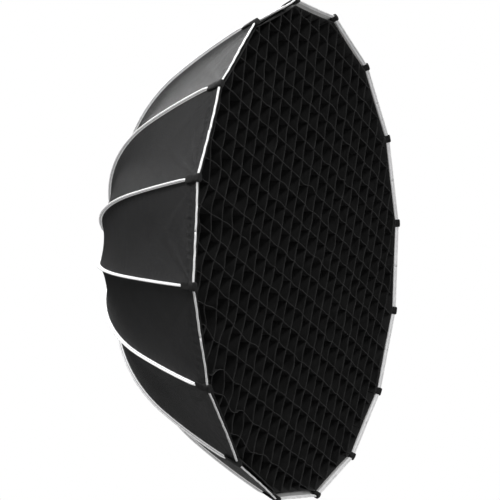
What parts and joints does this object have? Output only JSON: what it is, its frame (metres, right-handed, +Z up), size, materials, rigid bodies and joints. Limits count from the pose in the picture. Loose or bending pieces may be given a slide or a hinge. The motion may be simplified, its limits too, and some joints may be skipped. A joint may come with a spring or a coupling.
{
  "type": "folding softbox",
  "caption": "Deep round folding softbox for a studio light: ribbed black reflector, cloth egg-crate grid, diffusers and a bayonet speed ring.",
  "frame": {"origin": "centre of the speed ring's rear face, on the optical axis, where the light's bayonet meets it", "axes": "+Z up with one rib exactly on top, +Y along the optical axis towards the light, so the mouth faces -Y"},
  "size_m": [1.2228, 0.534, 1.2228],
  "materials": {
    "reflector_cloth": "black satin cloth, white lining",
    "piping": "woven reflective grey",
    "rim_white": "white woven binding",
    "pocket": "black reinforced webbing",
    "tape": "hook and loop tape",
    "elastic": "ribbed elastic",
    "grid_cloth": "matt black polyester",
    "diffuser_cloth": "white translucent nylon",
    "coated_metal": "matt black powder coat",
    "bare_metal": "brushed",
    "dark_screws": "blackened",
    "rib": "black glass-fibre rod, moulded ends",
    "stretcher": "dark anodised",
    "knob_plastic": "fine moulded texture",
    "handle": "orange moulded",
    "nylon": "natural nylon",
    "rubber": "soft matt"
  },
  "bodies": {
    "light_mount": {"bayonet_insert": "bare_metal", "bearing_ring": "nylon"},
    "speed_ring": {"speed_ring": "coated_metal", "hinge_pins": "bare_metal", "retaining_ring": "coated_metal", "retaining_screws": "dark_screws", "hub_bumper": "rubber", "reflector": "reflector_cloth", "seam_piping": "piping", "rim_binding": "rim_white", "corner_pockets": "pocket", "fastening_tape": "tape", "rear_collar": "elastic"},
    "lock": {"lock_knob": "knob_plastic", "lock_screw": "bare_metal"},
    "runner": {"runner_ring": "coated_metal", "runner_pins": "bare_metal", "runner_cover": "knob_plastic", "cover_screws": "dark_screws", "pull_handles": "handle"},
    "rib_01": {"rib_01": "rib"},
    "rib_02": {"rib_02": "rib"},
    "rib_03": {"rib_03": "rib"},
    "rib_04": {"rib_04": "rib"},
    "rib_05": {"rib_05": "rib"},
    "rib_06": {"rib_06": "rib"},
    "rib_07": {"rib_07": "rib"},
    "rib_08": {"rib_08": "rib"},
    "rib_09": {"rib_09": "rib"},
    "rib_10": {"rib_10": "rib"},
    "rib_11": {"rib_11": "rib"},
    "rib_12": {"rib_12": "rib"},
    "rib_13": {"rib_13": "rib"},
    "rib_14": {"rib_14": "rib"},
    "rib_15": {"rib_15": "rib"},
    "rib_16": {"rib_16": "rib"},
    "stretcher_01": {"stretcher_01": "stretcher"},
    "stretcher_02": {"stretcher_02": "stretcher"},
    "stretcher_03": {"stretcher_03": "stretcher"},
    "stretcher_04": {"stretcher_04": "stretcher"},
    "stretcher_05": {"stretcher_05": "stretcher"},
    "stretcher_06": {"stretcher_06": "stretcher"},
    "stretcher_07": {"stretcher_07": "stretcher"},
    "stretcher_08": {"stretcher_08": "stretcher"},
    "stretcher_09": {"stretcher_09": "stretcher"},
    "stretcher_10": {"stretcher_10": "stretcher"},
    "stretcher_11": {"stretcher_11": "stretcher"},
    "stretcher_12": {"stretcher_12": "stretcher"},
    "stretcher_13": {"stretcher_13": "stretcher"},
    "stretcher_14": {"stretcher_14": "stretcher"},
    "stretcher_15": {"stretcher_15": "stretcher"},
    "stretcher_16": {"stretcher_16": "stretcher"},
    "inner_diffuser": {"inner_diffuser": "diffuser_cloth", "inner_diffuser_hem": "tape", "inner_diffuser_straps": "elastic"},
    "front_diffuser": {"front_diffuser": "diffuser_cloth", "diffuser_tape": "tape"},
    "grid": {"grid_slats_a": "grid_cloth", "grid_slats_b": "grid_cloth", "grid_band": "grid_cloth"}
  },
  "joints": [
    {"name": "mount_turn", "type": "hinge", "parent": "light_mount", "child": "speed_ring", "pos_m": [0, 0, 0], "axis": [0, 1, 0], "continuous": true},
    {"name": "runner_slide", "type": "slide", "parent": "speed_ring", "child": "runner", "axis": [0, -1, 0], "range_m": [0, 0.1725], "deforming": ["reflector", "seam_piping", "rim_binding", "corner_pockets", "fastening_tape", "inner_diffuser", "inner_diffuser_hem", "inner_diffuser_straps", "front_diffuser", "diffuser_tape", "grid_slats_a", "grid_slats_b", "grid_band"]},
    {"name": "lock_knob_turn", "type": "hinge", "parent": "speed_ring", "child": "lock", "pos_m": [0.08533, -0.012, -0.01697], "axis": [0.9808, 0, -0.1951], "range_deg": [-144, 360]},
    {"name": "rib_01_fold", "type": "hinge", "parent": "speed_ring", "child": "rib_01", "pos_m": [0, -0.032, 0.075], "axis": [1, 0, 0], "range_deg": [0, 50.01]},
    {"name": "rib_02_fold", "type": "hinge", "parent": "speed_ring", "child": "rib_02", "pos_m": [0.0287, -0.032, 0.06929], "axis": [0.9239, 0, -0.3827], "range_deg": [0, 50.01]},
    {"name": "rib_03_fold", "type": "hinge", "parent": "speed_ring", "child": "rib_03", "pos_m": [0.05303, -0.032, 0.05303], "axis": [0.7071, 0, -0.7071], "range_deg": [0, 50.01]},
    {"name": "rib_04_fold", "type": "hinge", "parent": "speed_ring", "child": "rib_04", "pos_m": [0.06929, -0.032, 0.0287], "axis": [0.3827, 0, -0.9239], "range_deg": [0, 50.01]},
    {"name": "rib_05_fold", "type": "hinge", "parent": "speed_ring", "child": "rib_05", "pos_m": [0.075, -0.032, 0], "axis": [0, 0, -1], "range_deg": [0, 50.01]},
    {"name": "rib_06_fold", "type": "hinge", "parent": "speed_ring", "child": "rib_06", "pos_m": [0.06929, -0.032, -0.0287], "axis": [-0.3827, 0, -0.9239], "range_deg": [0, 50.01]},
    {"name": "rib_07_fold", "type": "hinge", "parent": "speed_ring", "child": "rib_07", "pos_m": [0.05303, -0.032, -0.05303], "axis": [-0.7071, 0, -0.7071], "range_deg": [0, 50.01]},
    {"name": "rib_08_fold", "type": "hinge", "parent": "speed_ring", "child": "rib_08", "pos_m": [0.0287, -0.032, -0.06929], "axis": [-0.9239, 0, -0.3827], "range_deg": [0, 50.01]},
    {"name": "rib_09_fold", "type": "hinge", "parent": "speed_ring", "child": "rib_09", "pos_m": [0, -0.032, -0.075], "axis": [-1, 0, 0], "range_deg": [0, 50.01]},
    {"name": "rib_10_fold", "type": "hinge", "parent": "speed_ring", "child": "rib_10", "pos_m": [-0.0287, -0.032, -0.06929], "axis": [-0.9239, 0, 0.3827], "range_deg": [0, 50.01]},
    {"name": "rib_11_fold", "type": "hinge", "parent": "speed_ring", "child": "rib_11", "pos_m": [-0.05303, -0.032, -0.05303], "axis": [-0.7071, 0, 0.7071], "range_deg": [0, 50.01]},
    {"name": "rib_12_fold", "type": "hinge", "parent": "speed_ring", "child": "rib_12", "pos_m": [-0.06929, -0.032, -0.0287], "axis": [-0.3827, 0, 0.9239], "range_deg": [0, 50.01]},
    {"name": "rib_13_fold", "type": "hinge", "parent": "speed_ring", "child": "rib_13", "pos_m": [-0.075, -0.032, 0], "axis": [0, 0, 1], "range_deg": [0, 50.01]},
    {"name": "rib_14_fold", "type": "hinge", "parent": "speed_ring", "child": "rib_14", "pos_m": [-0.06929, -0.032, 0.0287], "axis": [0.3827, 0, 0.9239], "range_deg": [0, 50.01]},
    {"name": "rib_15_fold", "type": "hinge", "parent": "speed_ring", "child": "rib_15", "pos_m": [-0.05303, -0.032, 0.05303], "axis": [0.7071, 0, 0.7071], "range_deg": [0, 50.01]},
    {"name": "rib_16_fold", "type": "hinge", "parent": "speed_ring", "child": "rib_16", "pos_m": [-0.0287, -0.032, 0.06929], "axis": [0.9239, 0, 0.3827], "range_deg": [0, 50.01]},
    {"name": "stretcher_01_turn", "type": "hinge", "parent": "runner", "child": "stretcher_01", "pos_m": [0, -0.048, 0.06], "axis": [1, 0, 0], "range_deg": [-69.92, 0]},
    {"name": "stretcher_02_turn", "type": "hinge", "parent": "runner", "child": "stretcher_02", "pos_m": [0.02296, -0.048, 0.05543], "axis": [0.9239, 0, -0.3827], "range_deg": [-69.92, 0]},
    {"name": "stretcher_03_turn", "type": "hinge", "parent": "runner", "child": "stretcher_03", "pos_m": [0.04243, -0.048, 0.04243], "axis": [0.7071, 0, -0.7071], "range_deg": [-69.92, 0]},
    {"name": "stretcher_04_turn", "type": "hinge", "parent": "runner", "child": "stretcher_04", "pos_m": [0.05543, -0.048, 0.02296], "axis": [0.3827, 0, -0.9239], "range_deg": [-69.92, 0]},
    {"name": "stretcher_05_turn", "type": "hinge", "parent": "runner", "child": "stretcher_05", "pos_m": [0.06, -0.048, 0], "axis": [0, 0, -1], "range_deg": [-69.92, 0]},
    {"name": "stretcher_06_turn", "type": "hinge", "parent": "runner", "child": "stretcher_06", "pos_m": [0.05543, -0.048, -0.02296], "axis": [-0.3827, 0, -0.9239], "range_deg": [-69.92, 0]},
    {"name": "stretcher_07_turn", "type": "hinge", "parent": "runner", "child": "stretcher_07", "pos_m": [0.04243, -0.048, -0.04243], "axis": [-0.7071, 0, -0.7071], "range_deg": [-69.92, 0]},
    {"name": "stretcher_08_turn", "type": "hinge", "parent": "runner", "child": "stretcher_08", "pos_m": [0.02296, -0.048, -0.05543], "axis": [-0.9239, 0, -0.3827], "range_deg": [-69.92, 0]},
    {"name": "stretcher_09_turn", "type": "hinge", "parent": "runner", "child": "stretcher_09", "pos_m": [0, -0.048, -0.06], "axis": [-1, 0, 0], "range_deg": [-69.92, 0]},
    {"name": "stretcher_10_turn", "type": "hinge", "parent": "runner", "child": "stretcher_10", "pos_m": [-0.02296, -0.048, -0.05543], "axis": [-0.9239, 0, 0.3827], "range_deg": [-69.92, 0]},
    {"name": "stretcher_11_turn", "type": "hinge", "parent": "runner", "child": "stretcher_11", "pos_m": [-0.04243, -0.048, -0.04243], "axis": [-0.7071, 0, 0.7071], "range_deg": [-69.92, 0]},
    {"name": "stretcher_12_turn", "type": "hinge", "parent": "runner", "child": "stretcher_12", "pos_m": [-0.05543, -0.048, -0.02296], "axis": [-0.3827, 0, 0.9239], "range_deg": [-69.92, 0]},
    {"name": "stretcher_13_turn", "type": "hinge", "parent": "runner", "child": "stretcher_13", "pos_m": [-0.06, -0.048, 0], "axis": [0, 0, 1], "range_deg": [-69.92, 0]},
    {"name": "stretcher_14_turn", "type": "hinge", "parent": "runner", "child": "stretcher_14", "pos_m": [-0.05543, -0.048, 0.02296], "axis": [0.3827, 0, 0.9239], "range_deg": [-69.92, 0]},
    {"name": "stretcher_15_turn", "type": "hinge", "parent": "runner", "child": "stretcher_15", "pos_m": [-0.04243, -0.048, 0.04243], "axis": [0.7071, 0, 0.7071], "range_deg": [-69.92, 0]},
    {"name": "stretcher_16_turn", "type": "hinge", "parent": "runner", "child": "stretcher_16", "pos_m": [-0.02296, -0.048, 0.05543], "axis": [0.9239, 0, 0.3827], "range_deg": [-69.92, 0]},
    {"name": "inner_diffuser_slide", "type": "slide", "parent": "speed_ring", "child": "inner_diffuser", "axis": [0, -1, 0], "range_m": [0, 0.501]},
    {"name": "front_diffuser_slide", "type": "slide", "parent": "speed_ring", "child": "front_diffuser", "axis": [0, -1, 0], "range_m": [0, 0.451]},
    {"name": "grid_slide", "type": "slide", "parent": "front_diffuser", "child": "grid", "axis": [0, -1, 0], "range_m": [0, 0.15]}
  ],
  "couplings": [
    {"joint": "rib_01_fold", "follows": "runner_slide", "rad_per_m": 5.059},
    {"joint": "rib_02_fold", "follows": "runner_slide", "rad_per_m": 5.059},
    {"joint": "rib_03_fold", "follows": "runner_slide", "rad_per_m": 5.059},
    {"joint": "rib_04_fold", "follows": "runner_slide", "rad_per_m": 5.059},
    {"joint": "rib_05_fold", "follows": "runner_slide", "rad_per_m": 5.059},
    {"joint": "rib_06_fold", "follows": "runner_slide", "rad_per_m": 5.059},
    {"joint": "rib_07_fold", "follows": "runner_slide", "rad_per_m": 5.059},
    {"joint": "rib_08_fold", "follows": "runner_slide", "rad_per_m": 5.059},
    {"joint": "rib_09_fold", "follows": "runner_slide", "rad_per_m": 5.059},
    {"joint": "rib_10_fold", "follows": "runner_slide", "rad_per_m": 5.059},
    {"joint": "rib_11_fold", "follows": "runner_slide", "rad_per_m": 5.059},
    {"joint": "rib_12_fold", "follows": "runner_slide", "rad_per_m": 5.059},
    {"joint": "rib_13_fold", "follows": "runner_slide", "rad_per_m": 5.059},
    {"joint": "rib_14_fold", "follows": "runner_slide", "rad_per_m": 5.059},
    {"joint": "rib_15_fold", "follows": "runner_slide", "rad_per_m": 5.059},
    {"joint": "rib_16_fold", "follows": "runner_slide", "rad_per_m": 5.059},
    {"joint": "stretcher_01_turn", "follows": "runner_slide", "rad_per_m": -7.0732},
    {"joint": "stretcher_02_turn", "follows": "runner_slide", "rad_per_m": -7.0732},
    {"joint": "stretcher_03_turn", "follows": "runner_slide", "rad_per_m": -7.0732},
    {"joint": "stretcher_04_turn", "follows": "runner_slide", "rad_per_m": -7.0732},
    {"joint": "stretcher_05_turn", "follows": "runner_slide", "rad_per_m": -7.0732},
    {"joint": "stretcher_06_turn", "follows": "runner_slide", "rad_per_m": -7.0732},
    {"joint": "stretcher_07_turn", "follows": "runner_slide", "rad_per_m": -7.0732},
    {"joint": "stretcher_08_turn", "follows": "runner_slide", "rad_per_m": -7.0732},
    {"joint": "stretcher_09_turn", "follows": "runner_slide", "rad_per_m": -7.0732},
    {"joint": "stretcher_10_turn", "follows": "runner_slide", "rad_per_m": -7.0732},
    {"joint": "stretcher_11_turn", "follows": "runner_slide", "rad_per_m": -7.0732},
    {"joint": "stretcher_12_turn", "follows": "runner_slide", "rad_per_m": -7.0732},
    {"joint": "stretcher_13_turn", "follows": "runner_slide", "rad_per_m": -7.0732},
    {"joint": "stretcher_14_turn", "follows": "runner_slide", "rad_per_m": -7.0732},
    {"joint": "stretcher_15_turn", "follows": "runner_slide", "rad_per_m": -7.0732},
    {"joint": "stretcher_16_turn", "follows": "runner_slide", "rad_per_m": -7.0732},
    {"joint": "inner_diffuser_slide", "follows": "runner_slide", "ratio": 2.8986},
    {"joint": "front_diffuser_slide", "follows": "runner_slide", "ratio": 2.6087}
  ]
}
